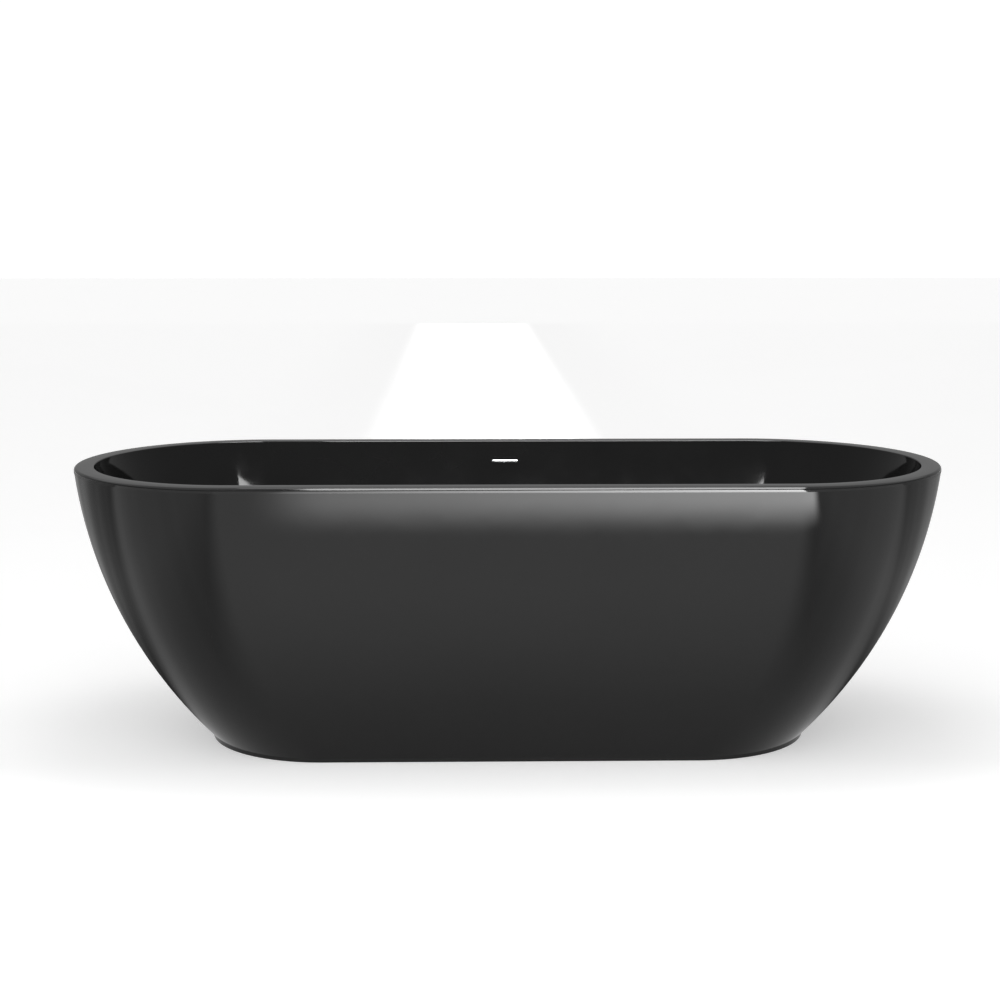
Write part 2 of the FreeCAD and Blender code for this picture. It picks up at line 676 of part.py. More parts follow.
def makeWasteFlange():
    sleeveEnd = f"{FLANGE_BOTTOM} - sleeve_length"
    body = turn("waste_flange", [
        ("sleeve_bore", sleeveEnd), ("sleeve_radius", sleeveEnd), ("sleeve_radius", FLANGE_BOTTOM),
        ("flange_radius", FLANGE_BOTTOM), ("flange_radius", f"{FLANGE_TOP} - flange_edge"),
        ("flange_radius - 2 * flange_edge", FLANGE_TOP),
        ("sleeve_bore + flange_edge", FLANGE_TOP), ("sleeve_bore", f"{FLANGE_TOP} - flange_edge"),
    ])
    reach, half = "(sleeve_bore + spoke_root)", "spoke_width / 2"
    for index, (u, v) in enumerate(((reach, half), (half, reach))):
        spokes = newSketch(body, f"Spokes{index}", offset=f"{HUB_TOP} - hub_height")
        drawRectangle(spokes, (f"-{u}", f"-{v}"), (u, v))
        pad(body, spokes, "hub_height")
    hub = newSketch(body, "Hub", offset=f"{HUB_TOP} - hub_height")
    pad(body, drawCircle(hub, "hub_radius"), "hub_height")
    bore = newSketch(body, "HubBore", offset=f"{HUB_TOP} - hub_height")
    pocket(body, drawCircle(bore, "cartridge_radius"), "hub_height", away=True)


def makeWasteBody():
    collar = f"{BODY_TOP} - body_collar"
    socket = "sleeve_radius + running_gap"
    socketEnd = f"{FLANGE_BOTTOM} - sleeve_length - socket_spare"
    body = turn("waste_body", [
        ("body_bore", "body_thread_bottom"), ("body_thread_radius", "body_thread_bottom"),
        ("body_thread_radius", "body_thread_top"), ("body_radius", "body_thread_top"),
        ("body_radius", collar), ("body_collar_radius", collar),
        ("body_collar_radius", BODY_TOP), (socket, BODY_TOP),
        (socket, socketEnd), ("body_bore", socketEnd),
    ])
    start = "(body_radius - spigot_root)"
    spigot = newSketch(body, "InletSpigot", "XZ_Plane", f"-{start}")
    drawCircle(spigot, "spigot_radius", "0", "inlet_height")
    pad(body, spigot, f"spigot_end - {start}", away=True)
    bore = newSketch(body, "InletBore", "XZ_Plane", "-spigot_end - 1")
    drawCircle(bore, "spigot_bore", "0", "inlet_height")
    pocket(body, bore, "spigot_end + 3 - body_bore", away=True)


def makePlug():
    """Cap, seal and stem that rise together, and the cartridge and spring below them."""
    seat = f"({FLANGE_TOP} + bolt_gap)"
    stemTop = f"({seat} + stem_socket)"
    stemEnd = f"({stemTop} - stem_length)"
    ring("plug_seal", "plug_seal_bore", "plug_seal_radius", f"{seat} - plug_seal_height", seat)
    turn("plug_cap", [
        ("stem_radius", seat), ("cap_radius - cap_edge", seat),
        ("cap_radius", f"{seat} + cap_edge"), ("cap_radius - 1", f"{seat} + cap_side"),
        ("cap_radius - 5", f"{seat} + cap_shoulder"), ("cap_radius / 2", f"{seat} + cap_crown"),
        ("0", f"{seat} + cap_thickness"),
        ("0", stemTop), ("stem_radius", stemTop),
    ])
    ring("plug_stem", "0", "stem_radius", stemEnd, stemTop)
    bore = "stem_radius + running_gap"
    top = f"({HUB_TOP} + cartridge_above)"
    bottom = f"({top} - cartridge_length)"
    turn("plug_cartridge", [
        ("0", bottom), ("cartridge_radius", bottom), ("cartridge_radius", top),
        (bore, top), (bore, f"{bottom} + cartridge_floor"), ("0", f"{bottom} + cartridge_floor"),
    ])
    makePlugSpring(f"({bottom} + cartridge_floor)", stemEnd)


def makePlugSpring(bottom, top):
    """Coil spring between the cartridge floor and the end of the stem."""
    wire = value("spring_wire")
    low, high = value(bottom) + 2 * wire, value(top) - 2 * wire
    pitch = (high - low) / value("spring_turns")
    helix = Part.makeHelix(pitch, high - low, value("spring_radius"))
    start = Vector(value("spring_radius"), 0, 0)
    profile = Part.Wire(Part.makeCircle(wire, start, Vector(0, 1, 0)))
    coil = Part.Wire(helix.Edges).makePipeShell([profile], True, True)
    spring = doc.addObject("Part::Feature", "plug_spring")
    spring.Shape = coil
    spring.Placement = Placement(Vector(0, 0, low), Rotation())
    keep(spring, "plug_spring")


# ---- overflow ----

def wallPlacement():
    """Frame on the basin's inner face at the overflow: Y up the wall, Z into the basin."""
    z = value("height - overflow_drop")
    y = value(basinOutline("(height - overflow_drop)")[1])
    top = value("basin_side_arc * sin(basin_side_lean * 1 deg)")
    lean = math.degrees(math.asin((value("overflow_drop") + top) / value("basin_side_arc")))
    return Placement(Vector(0, y, z), Rotation(Vector(1, 0, 0), 90 - lean))


def plate(name, length, low, high, back, front, frame):
    """Rectangular body in the overflow's frame, from back to front."""
    body = newBody(name)
    outline = newSketch(body, f"{name}Outline", offset=back)
    drawRectangle(outline, (f"-({length}) / 2", low), (f"({length}) / 2", high))
    feature = pad(body, outline, f"{front} - ({back})")
    body.Placement = frame
    return body, feature


def makeOverflow():
    frame = wallPlacement()
    half = "cover_height / 2"
    cover, bar = plate("overflow_cover", "cover_length", f"-{half}", half, "cover_standoff",
                       "cover_standoff + cover_thickness", frame)
    front = value("cover_standoff + cover_thickness")
    fillet(cover, bar, "cover_thickness / 3", lambda edge: edge.BoundBox.ZMin > front - 0.01)
    for side in (-1, 1):
        peg = newSketch(cover, f"Peg{side + 1}", offset="cover_standoff - peg_length")
        drawCircle(peg, "peg_radius", f"{side} * peg_place")
        pad(cover, peg, "peg_length + cover_thickness / 2")

    wall = "-basin_wall - box_gap"
    seal = plate("overflow_seal", "box_length", "-box_above", "box_above",
                 f"{wall} - box_seal", wall, frame)[0]
    cutSlot(seal, f"{wall} - box_seal", "box_seal")

    front = f"({wall} - box_seal)"
    back = f"({front} - box_depth)"
    box = plate("overflow_box", "box_length", "-box_below", "box_above", back, front, frame)[0]
    hollow = newSketch(box, "BoxHollow", offset=f"{back} + box_wall")
    drawRectangle(hollow, ("-box_length / 2 + box_wall", "-box_below + box_wall"),
                  ("box_length / 2 - box_wall", "box_above - box_wall"))
    pocket(box, hollow, "box_depth - 2 * box_wall", away=True)
    cutSlot(box, f"{front} - box_wall", "box_wall")
    middle = f"({back} + box_depth / 2)"
    spigot = newSketch(box, "BoxSpigot", "XZ_Plane", "box_below - box_wall / 2")
    pad(box, drawCircle(spigot, "spigot_radius", "0", middle), "box_spigot + box_wall / 2")
    bore = newSketch(box, "BoxSpigotBore", "XZ_Plane", "box_below + box_spigot + 1")
    pocket(box, drawCircle(bore, "spigot_bore", "0", middle), "box_spigot + box_wall + 2")
    return frame, middle


def cutSlot(body, back, depth):
    """Slot through a plate in the overflow's frame, a little larger than the basin's."""
    slot = newSketch(body, f"{body.Name}Slot", offset=back)
    drawRectangle(slot, ("-slot_length / 2 - 1", "-slot_height / 2 - 1"),
                  ("slot_length / 2 + 1", "slot_height / 2 + 1"))
    pocket(body, slot, depth, away=True)


def hoseRoute(frame, middle):
    """Corners of the hose, from the waste body up the space between basin and shell."""
    top = frame.multVec(Vector(0, -value("box_below + hose_box_gap"), value(middle)))
    down = frame.Rotation.multVec(Vector(0, -1, 0))
    low = Vector(0, value("spigot_end - hose_overlap"), value("inlet_height"))
    heel = Vector(0, value("hose_heel_y"), low.z)
    knee = Vector(0, value("hose_knee_y"), value("hose_knee_z"))
    return [low, heel, knee, top + down * value("hose_leg"), top]


def roundedPath(points, radii):
    """Straight runs joined by tangent arcs of the given radii."""
    edges, start = [], points[0]
    for before, corner, after, radius in zip(points, points[1:], points[2:], radii):
        into = (before - corner).normalize()
        out = (after - corner).normalize()
        half = into.getAngle(out) / 2
        reach = radius / math.tan(half)
        first, last = corner + into * reach, corner + out * reach
        bisector = (into + out).normalize()
        middle = corner + bisector * (radius / math.sin(half) - radius)
        edges.append(Part.LineSegment(start, first).toShape())
        edges.append(Part.Arc(first, middle, last).toShape())
        start = last
    edges.append(Part.LineSegment(start, points[-1]).toShape())
    return Part.Wire(edges)


def makeHose(frame, middle):
    points = hoseRoute(frame, middle)
    bends = [value("hose_heel_bend"), value("hose_knee_bend"), value("hose_leg_bend")]
    path = roundedPath(points, bends)
    across = points[1] - points[0]
    skins = []
    for radius in ("hose_radius", "hose_bore"):
        profile = Part.Wire(Part.makeCircle(value(radius), points[0], across))
        skins.append(path.makePipeShell([profile], True, True))
    hose = doc.addObject("Part::Feature", "overflow_hose")
    hose.Shape = skins[0].cut(skins[1])
    hose.Placement = Placement()
    keep(hose, "overflow_hose")
    print(f"hose length {path.Length:.0f} mm, volume {hose.Shape.Volume:.0f} mm3")
    band = "hose_radius + running_gap"
    lower = ring("hose_clamp_lower", band, f"{band} + clamp_wall", "0", "clamp_width")
    upper = ring("hose_clamp_upper", band, f"{band} + clamp_wall", "0", "clamp_width")
    alongY = Rotation(Vector(0, 0, 1), points[1] - points[0])
    lower.Placement = Placement(points[0] + Vector(0, value("clamp_place"), 0), alongY)
    down = (points[3] - points[4]).normalize()
    upper.Placement = Placement(points[4] + down * value("clamp_place"),
                                Rotation(Vector(0, 0, 1), down))


# ---- trap and outlet ----

def makeTrap():
    inlet = cylinder("trap_inlet", "trap_radius", "trap_shoulder - trap_bottom", z="trap_bottom")
    neck = cylinder("trap_neck", "trap_neck_radius", "trap_neck_top - trap_bottom", z="trap_bottom")
    collar = cylinder("trap_collar_disc", "trap_collar_radius", "trap_collar", z="trap_neck_top")
    riser = cylinder("trap_riser", "trap_radius", "riser_top - trap_bottom", "riser_place", "0",
                     "trap_bottom")
    passage = "trap_passage + 2 * trap_wall"
    base = block("trap_base", "riser_place", "2 * trap_radius", passage, "riser_place / 2", "0",
                 "trap_bottom")
    socket = cylinder("trap_socket", "outlet_thread_radius", "outlet_socket_end - riser_place",
                      "riser_place", "0", "outlet_height", lying=True)
    outside = fuse("trap_outside", [inlet, neck, collar, riser, base, socket])

    floor = "trap_bottom + trap_wall"
    bore = "trap_neck_radius - trap_wall"
    inletBore = cylinder("trap_inlet_bore", bore, "trap_neck_top", z=floor)
    riserBore = cylinder("trap_riser_bore", "trap_radius - trap_wall",
                         "riser_top - trap_bottom - 2 * trap_wall", "riser_place", "0", floor)
    under = block("trap_under", "riser_place", "2 * (trap_neck_radius - trap_wall)",
                  "trap_passage", "riser_place / 2", "0", floor)
    outletBore = cylinder("trap_outlet_bore", "pipe_bore", "outlet_socket_end",
                          "riser_place", "0", "outlet_height", lying=True)
    outletSocket = cylinder("trap_outlet_socket", "pipe_radius + running_gap", "outlet_socket_end",
                            "pipe_start - 1", "0", "outlet_height", lying=True)
    tools = [inletBore, riserBore, under, outletBore, outletSocket]
    keep(cut("trap_cut", outside, tools), "trap_body")

    collarTop = "trap_neck_top + trap_collar"
    ring("trap_washer", bore, "trap_collar_radius", collarTop, "body_thread_bottom")
    lipBottom = "trap_neck_top - slip_nut_lip - bolt_gap"
    place(makeSlipNut("trap_nut", "body_thread_radius", "trap_neck_radius"), z=lipBottom)

    outward = Rotation(Vector(0, 1, 0), -90)
    nut = makeSlipNut("outlet_nut", "outlet_thread_radius", "pipe_radius")
    washer = ring("outlet_washer", "pipe_radius + running_gap", "outlet_thread_radius",
                  "0", "washer_thickness")
    free, far = "pipe_end - bead_place", "pipe_end - pipe_start"
    pipe = turn("outlet_pipe", [
        ("pipe_bore", "0"), ("pipe_radius", "0"), ("pipe_radius", free), ("bead_radius", free),
        ("bead_radius", f"{free} + bead_width"), ("pipe_radius", f"{free} + bead_width"),
        ("pipe_radius", far), ("pipe_bore", far),
    ])
    washerEnd = "outlet_socket_end + washer_thickness"
    for body, x in ((nut, f"{washerEnd} + slip_nut_lip"), (washer, washerEnd), (pipe, "pipe_end")):
        body.Placement = Placement(Vector(), outward)
        place(body, x, "0", "outlet_height")


def makeSlipNut(name, thread, tube):
    """Nut over an outside thread, with a lip that closes on the tube."""
    lip = f"{tube} + bolt_gap"
    bore = f"{thread} + running_gap"
    return turn(name, [
        (lip, "0"), ("slip_nut_radius", "0"), ("slip_nut_radius", "slip_nut_depth"),
        (bore, "slip_nut_depth"), (bore, "slip_nut_lip"), (lip, "slip_nut_lip"),
    ])


def finish():
    """Check every object, then write one STEP file for each sub-part."""
    doc.recompute()
    for item in doc.Objects:
        if "Invalid" in item.State or "Error" in item.State:
            raise RuntimeError(f"{item.Name} failed: {item.State}")
    os.makedirs("parts", exist_ok=True)
    for item in nodes:
        shape = item.Shape
        if shape.isNull() or not shape.isValid() or shape.Volume <= 0:
            raise RuntimeError(f"{item.Label} has no valid shape")
        shape.exportStep(f"parts/{item.Label}.step")
        box = shape.BoundBox
        print(f"{item.Label:28s} solids {len(shape.Solids):2d} volume {shape.Volume / 1000:10.2f} cm3 "
              f"x {box.XMin:8.1f} {box.XMax:8.1f} y {box.YMin:8.1f} {box.YMax:8.1f} "
              f"z {box.ZMin:7.1f} {box.ZMax:7.1f}")


makeOuterShell()
makePlinthRing()
makeInnerBasin()
makeBondBead()
makeFloorBoard()
makeCradleBar(-1, "cradle_bar_left")
makeCradleBar(1, "cradle_bar_right")
makeBoardScrews()
makeNuts("foot_weld_nuts", BAR_BOTTOM, "nut_thickness")
makeNuts("foot_lock_nuts", f"({BAR_BOTTOM} - nut_thickness)", "lock_nut_thickness")
for cornerX, cornerY in CORNERS:
    makeFoot(cornerX, cornerY)
    makeBracket(cornerX, cornerY)
makeBracketBolts()
makeWasteFlange()
ring("waste_upper_seal", "waste_hole_radius + 1", "flange_radius - 1", "basin_floor", FLANGE_BOTTOM)
ring("waste_lower_seal", "waste_hole_radius", "body_collar_radius", BODY_TOP, BOARD_TOP)
makeWasteBody()
makePlug()
makeHose(*makeOverflow())
makeTrap()
finish()
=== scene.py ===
import json
from math import asin, cos, pi, radians, sin, sqrt

import bmesh
import bpy
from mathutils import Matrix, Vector


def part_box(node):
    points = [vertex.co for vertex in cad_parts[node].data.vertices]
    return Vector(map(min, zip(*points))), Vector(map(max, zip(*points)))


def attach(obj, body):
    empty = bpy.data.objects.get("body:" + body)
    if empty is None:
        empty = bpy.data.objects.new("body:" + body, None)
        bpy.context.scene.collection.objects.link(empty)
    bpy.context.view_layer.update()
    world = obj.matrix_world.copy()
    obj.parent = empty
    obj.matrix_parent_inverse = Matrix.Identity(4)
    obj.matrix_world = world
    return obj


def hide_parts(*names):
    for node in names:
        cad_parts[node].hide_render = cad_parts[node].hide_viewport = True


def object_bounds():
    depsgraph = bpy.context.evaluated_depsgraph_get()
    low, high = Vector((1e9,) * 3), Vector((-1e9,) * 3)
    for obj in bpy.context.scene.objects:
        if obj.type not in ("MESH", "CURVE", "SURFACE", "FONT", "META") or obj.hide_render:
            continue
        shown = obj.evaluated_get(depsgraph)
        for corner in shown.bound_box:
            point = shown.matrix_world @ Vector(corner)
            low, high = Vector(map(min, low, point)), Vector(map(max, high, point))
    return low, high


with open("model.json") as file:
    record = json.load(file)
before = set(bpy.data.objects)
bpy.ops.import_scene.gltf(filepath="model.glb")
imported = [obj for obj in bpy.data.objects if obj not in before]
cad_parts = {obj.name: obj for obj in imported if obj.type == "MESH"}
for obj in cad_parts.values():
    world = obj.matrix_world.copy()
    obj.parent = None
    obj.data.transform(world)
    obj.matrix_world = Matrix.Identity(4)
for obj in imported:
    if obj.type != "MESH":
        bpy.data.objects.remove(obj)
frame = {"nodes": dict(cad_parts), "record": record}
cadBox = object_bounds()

mm = 0.001
rimTop = cadBox[1][2]
halfLength, halfWidth = cadBox[1][0], cadBox[1][1]


def clearSelection():
    if bpy.context.mode != "OBJECT":
        bpy.ops.object.mode_set(mode="OBJECT")
    bpy.ops.object.select_all(action="DESELECT")


def activate(piece):
    clearSelection()
    piece.select_set(True)
    bpy.context.view_layer.objects.active = piece


def selectVertices(test):
    # test gets a vertex's place and its number
    bpy.ops.mesh.select_all(action="DESELECT")
    mesh = bmesh.from_edit_mesh(bpy.context.object.data)
    mesh.verts.ensure_lookup_table()
    for vertex in mesh.verts:
        if test(vertex.co, vertex.index):
            vertex.select_set(True)
    mesh.select_flush_mode()
    mesh.select_flush(True)
    bmesh.update_edit_mesh(bpy.context.object.data)


def applyModifier(piece, kind, **settings):
    activate(piece)
    modifier = piece.modifiers.new(kind.title(), kind)
    for key, value in settings.items():
        setattr(modifier, key, value)
    bpy.ops.object.modifier_apply(modifier=modifier.name)


def finishPiece(piece, material, body, slot, *nodes, angle=30):
    activate(piece)
    bpy.ops.object.mode_set(mode="EDIT")
    bpy.ops.mesh.select_all(action="SELECT")
    bpy.ops.mesh.remove_doubles(threshold=0.00001)
    bpy.ops.mesh.select_all(action="SELECT")
    bpy.ops.mesh.normals_make_consistent(inside=False)
    bpy.ops.object.mode_set(mode="OBJECT")
    bpy.ops.object.transform_apply(location=True, rotation=True, scale=True)
    bpy.ops.object.shade_smooth_by_angle(angle=radians(angle))
    piece.data.materials.clear()
    piece.data.materials.append(material)
    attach(piece, body)
    if nodes:
        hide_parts(*nodes)


class NodeSheet:
    # a material's nodes, added and linked by short calls
    def __init__(self, name):
        self.material = bpy.data.materials.new(name)
        self.material.use_nodes = True
        self.nodes = self.material.node_tree.nodes
        self.links = self.material.node_tree.links
        self.shader = self.nodes["Principled BSDF"]
        self.place = self.nodes.new("ShaderNodeTexCoord").outputs["Object"]

    def set(self, **values):
        for key, value in values.items():
            self.shader.inputs[key.replace("_", " ")].default_value = value

    def add(self, kind, inputs=(), **settings):
        node = self.nodes.new(kind)
        for key, value in settings.items():
            setattr(node, key, value)
        for key, value in dict(inputs).items():
            if hasattr(value, "is_linked"):
                self.links.new(value, node.inputs[key])
            else:
                node.inputs[key].default_value = value
        return node

    def stretch(self, scale):
        return self.add("ShaderNodeMapping", {"Vector": self.place, "Scale": scale}).outputs[0]

    def noise(self, scale, detail=4, roughness=0.5, place=None):
        inputs = {"Vector": place or self.place, "Scale": scale,
                  "Detail": detail, "Roughness": roughness}
        return self.add("ShaderNodeTexNoise", inputs).outputs["Fac"]

    def spread(self, value, low, high, fromLow=0.3, fromHigh=0.7, **settings):
        inputs = {"Value": value, "From Min": fromLow, "From Max": fromHigh,
                  "To Min": low, "To Max": high}
        return self.add("ShaderNodeMapRange", inputs, **settings).outputs[0]

    def fade(self, value, low, high, start=0.0, end=1.0):
        # start up to low, end from high on, with a soft change between them
        return self.spread(value, start, end, low, high, interpolation_type="SMOOTHSTEP")

    def figure(self, operation, first, second=0.0):
        return self.add("ShaderNodeMath", {0: first, 1: second}, operation=operation).outputs[0]

    def colours(self, value, *stops):
        ramp = self.add("ShaderNodeValToRGB", {"Fac": value})
        elements = ramp.color_ramp.elements
        elements[0].position, elements[1].position = stops[0][0], stops[-1][0]
        for place, colour in stops[1:-1]:
            elements.new(place)
        for element, (place, colour) in zip(elements, stops):
            element.position, element.color = place, (*colour, 1)
        return ramp.outputs["Color"]

    def relief(self, height, depth, strength=1.0, under=None):
        inputs = {"Height": height, "Distance": depth, "Strength": strength}
        if under:
            inputs["Normal"] = under
        return self.add("ShaderNodeBump", inputs).outputs["Normal"]

    def use(self, **outputs):
        for key, output in outputs.items():
            self.links.new(output, self.shader.inputs[key.replace("_", " ")])


def grey(value):
    return (value, value, value)


acrylic = {
    "ior": 1.44,
    "shellTone": 0.0025, "basinTone": 0.010, "ringTone": 0.008,
    "gloss": 0.05, "ringGloss": 0.10,           # roughness of the polish
    "waveScale": 9, "waveDepth": 0.0006,        # waviness of the formed sheet
    "peelScale": 420, "peelDepth": 0.000004,
    "smearScale": 26, "dustScale": 900, "dustRoughness": 0.05,
}


def makeAcrylic(name, tone, gloss):
    # cast sheet, near black, polished, with the faint waviness of a vacuum-formed skin
    sheet = NodeSheet(name)
    sheet.set(IOR=acrylic["ior"])
    cloud = sheet.noise(5, 3)
    dust = sheet.spread(sheet.noise(acrylic["dustScale"], 2, 0.6), 0, 1, 0.70, 0.80)
    smear = sheet.noise(acrylic["smearScale"], 5, 0.62)
    sheet.use(Base_Color=sheet.colours(cloud, (0.3, grey(tone * 0.8)), (0.7, grey(tone * 1.25))))
    haze = sheet.spread(smear, gloss * 0.75, gloss * 1.5)
    speck = sheet.spread(dust, 0, acrylic["dustRoughness"], 0, 1)
    sheet.use(Roughness=sheet.figure("ADD", haze, speck))
    wave = sheet.relief(sheet.noise(acrylic["waveScale"], 2, 0.4), acrylic["waveDepth"], 0.5)
    peel = sheet.relief(sheet.noise(acrylic["peelScale"], 2, 0.5), acrylic["peelDepth"], 0.5, wave)
    sheet.use(Normal=peel)
    return sheet.material


def makeMetal(name, tone, rough, streak=(40, 40, 40), depth=0.00002):
    sheet = NodeSheet(name)
    sheet.set(Metallic=1.0)
    run = sheet.stretch(streak)
    grain = sheet.noise(18, 6, 0.6, run)
    patch = sheet.noise(60, 3)
    dark = tuple(part * 0.86 for part in tone)
    sheet.use(Base_Color=sheet.colours(patch, (0.35, dark), (0.65, tone)))
    sheet.use(Roughness=sheet.spread(grain, rough * 0.7, rough * 1.35))
    sheet.use(Normal=sheet.relief(grain, depth, 0.4))
    return sheet.material


def makeGalvanised(name):
    # zinc flowers: flat patches of slightly different grey
    sheet = NodeSheet(name)
    sheet.set(Metallic=1.0)
    flower = sheet.add("ShaderNodeTexVoronoi", {"Vector": sheet.place, "Scale": 140.0})
    shade = sheet.add("ShaderNodeSeparateColor", {"Color": flower.outputs["Color"]}).outputs[0]
    sheet.use(Base_Color=sheet.colours(shade, (0, (0.46, 0.47, 0.49)), (1, (0.66, 0.67, 0.69))))
    sheet.use(Roughness=sheet.spread(shade, 0.32, 0.52, 0, 1))
    sheet.use(Normal=sheet.relief(sheet.noise(500, 3), 0.00003, 0.4))
    return sheet.material


def makeRubber(name, tone=0.02):
    sheet = NodeSheet(name)
    sheet.set(IOR=1.5)
    bloom = sheet.noise(120, 5, 0.65)
    sheet.use(Base_Color=sheet.colours(bloom, (0.35, grey(tone)), (0.7, grey(tone * 2))))
    sheet.use(Roughness=sheet.spread(bloom, 0.62, 0.85))
    sheet.use(Normal=sheet.relief(sheet.noise(1600, 3), 0.00004, 0.5))
    return sheet.material


def makePlastic(name, tone, rough=0.38, pebble=1200):
    sheet = NodeSheet(name)
    sheet.set(IOR=1.49)
    patch = sheet.noise(35, 3)
    dark = tuple(part * 0.93 for part in tone)
    sheet.use(Base_Color=sheet.colours(patch, (0.3, dark), (0.7, tone)))
    sheet.use(Roughness=sheet.spread(patch, rough * 0.85, rough * 1.2))
    sheet.use(Normal=sheet.relief(sheet.noise(pebble, 2), 0.00002, 0.5))
    return sheet.material


def makeHosePlastic(name, pitch=0.004):
    # a rib at every pitch of height
    sheet = NodeSheet(name)
    sheet.set(IOR=1.49)
    ribs = sheet.add("ShaderNodeTexWave", {"Vector": sheet.place, "Scale": pi / (10 * pitch)},
                     bands_direction="Z")
    # painted shade: the colour is darker in the valleys between the ribs
    sheet.use(Base_Color=sheet.colours(ribs.outputs["Fac"], (0.1, grey(0.30)), (0.7, grey(0.42))))
    sheet.use(Roughness=sheet.spread(sheet.noise(80, 3), 0.4, 0.55))
    sheet.use(Normal=sheet.relief(ribs.outputs["Fac"], 0.0008, 0.6))
    return sheet.material


def makePlywood(name):
    # veneers show at the edge as bands of height, and as long grain on the faces
    sheet = NodeSheet(name)
    sheet.set(IOR=1.45)
    grain = sheet.noise(6, 7, 0.6, sheet.stretch((3, 60, 3)))
    ply = sheet.add("ShaderNodeTexWave", {"Vector": sheet.place, "Scale": 105.0, "Distortion": 0.6},
                    bands_direction="Z")
    face = sheet.colours(grain, (0.30, (0.34, 0.21, 0.11)), (0.55, (0.55, 0.39, 0.23)),
                         (0.75, (0.64, 0.48, 0.30)))
    bands = sheet.colours(ply.outputs["Fac"], (0.3, (0.30, 0.18, 0.09)), (0.7, (0.62, 0.47, 0.30)))
    normal = sheet.add("ShaderNodeNewGeometry").outputs["Normal"]
    level = sheet.add("ShaderNodeSeparateXYZ", {"Vector": normal}).outputs["Z"]
    upright = sheet.figure("ABSOLUTE", level)
    mix = sheet.add("ShaderNodeMix", data_type="RGBA")
    sheet.links.new(sheet.spread(upright, 0, 1, 0.4, 0.6), mix.inputs["Factor"])
    sheet.links.new(bands, mix.inputs[6])
    sheet.links.new(face, mix.inputs[7])
    sheet.use(Base_Color=mix.outputs[2])
    sheet.use(Roughness=sheet.spread(grain, 0.5, 0.7))
    sheet.use(Normal=sheet.relief(grain, 0.0002, 0.5))
    return sheet.material


def makeAdhesive(name):
    sheet = NodeSheet(name)
    sheet.set(IOR=1.45)
    lump = sheet.noise(90, 5, 0.6)
    sheet.use(Base_Color=sheet.colours(lump, (0.3, grey(0.46)), (0.7, grey(0.58))))
    sheet.use(Roughness=sheet.spread(lump, 0.4, 0.6))
    sheet.use(Normal=sheet.relief(lump, 0.0008, 0.6))
    return sheet.material


print("materials")
finishes = {
    "shell_acrylic": makeAcrylic("shellAcrylic", acrylic["shellTone"], acrylic["gloss"]),
    "basin_acrylic": makeAcrylic("basinAcrylic", acrylic["basinTone"], acrylic["gloss"]),
    "plinth_acrylic": makeAcrylic("plinthAcrylic", acrylic["ringTone"], acrylic["ringGloss"]),
    "bond_bead": makeAdhesive("bondAdhesive"),
    "board_ply": makePlywood("birchPlywood"),
    "frame_steel": makeGalvanised("galvanisedSteel"),
    "zinc_screws": makeMetal("zincPlate", (0.62, 0.62, 0.60), 0.32),
    "chrome": makeMetal("polishedChrome", (0.78, 0.79, 0.80), 0.07, depth=0.000004),
    "seal_rubber": makeRubber("sealRubber"),
    "foot_rubber": makeRubber("footRubber", 0.03),
    "waste_plastic": makePlastic("wastePlastic", (0.72, 0.72, 0.70)),
    "hose_plastic": makeHosePlastic("hosePlastic"),
    "brass": makeMetal("turnedBrass", (0.72, 0.54, 0.26), 0.25, (10, 10, 160)),
    "spring_steel": makeMetal("springSteel", (0.60, 0.60, 0.61), 0.22),
}


def dressNodes():
    # every node that stays gets the finish of its slot in the record
    print("finishes on the plain parts")
    for part in frame["record"]["subparts"]:
        node = frame["nodes"][part["node"]]
        material = finishes[part["material_slot"]]
        if not node.material_slots:
            node.data.materials.append(material)
        for holder in node.material_slots:
            holder.material = material


ovalQuality = {
    "arcSteps": 72,      # round end, a quarter of the outline
    "sideSteps": 10,     # straight side, from the middle to the round end
}


def outlineSize(length, width, curve, z):
    # length and width are half sizes, curve is how long the round end is
    return {"length": length, "width": width, "curve": curve, "z": z}


def inset(outline, distance, z=None):
    return outlineSize(outline["length"] - distance, outline["width"] - distance,
                       outline["curve"] - distance, outline["z"] if z is None else z)


def startOval(name, first):
    # a quarter of the outline: a round end from the x axis to the side, then the straight side
    clearSelection()
    steps, sideSteps = ovalQuality["arcSteps"], ovalQuality["sideSteps"]
    bpy.ops.mesh.primitive_circle_add(vertices=4 * steps, radius=1, location=(0, 0, 0))
    piece = bpy.context.object
    piece.name = name
    bpy.ops.object.mode_set(mode="EDIT")
    bpy.ops.mesh.select_mode(type="VERT")
    tiny = 0.2 / steps
    selectVertices(lambda co, number: co.x < -tiny or co.y < -tiny)
    bpy.ops.mesh.delete(type="VERT")
    centre = first["length"] - first["curve"]
    bpy.ops.mesh.select_all(action="SELECT")
    bpy.ops.transform.resize(value=(first["curve"], first["width"], 1), center_override=(0, 0, 0))
    bpy.ops.transform.translate(value=(centre, 0, first["z"]))
    reach = tiny * first["curve"]
    selectVertices(lambda co, number: co.x < centre + reach)
    for step in range(sideSteps):
        bpy.ops.mesh.extrude_region_move(TRANSFORM_OT_translate={"value": (-centre / sideSteps, 0, 0)})
    # leaving edit mode and coming back numbers the vertices afresh, so that new rings come last
    bpy.ops.object.mode_set(mode="OBJECT")
    bpy.ops.object.mode_set(mode="EDIT")
    return piece


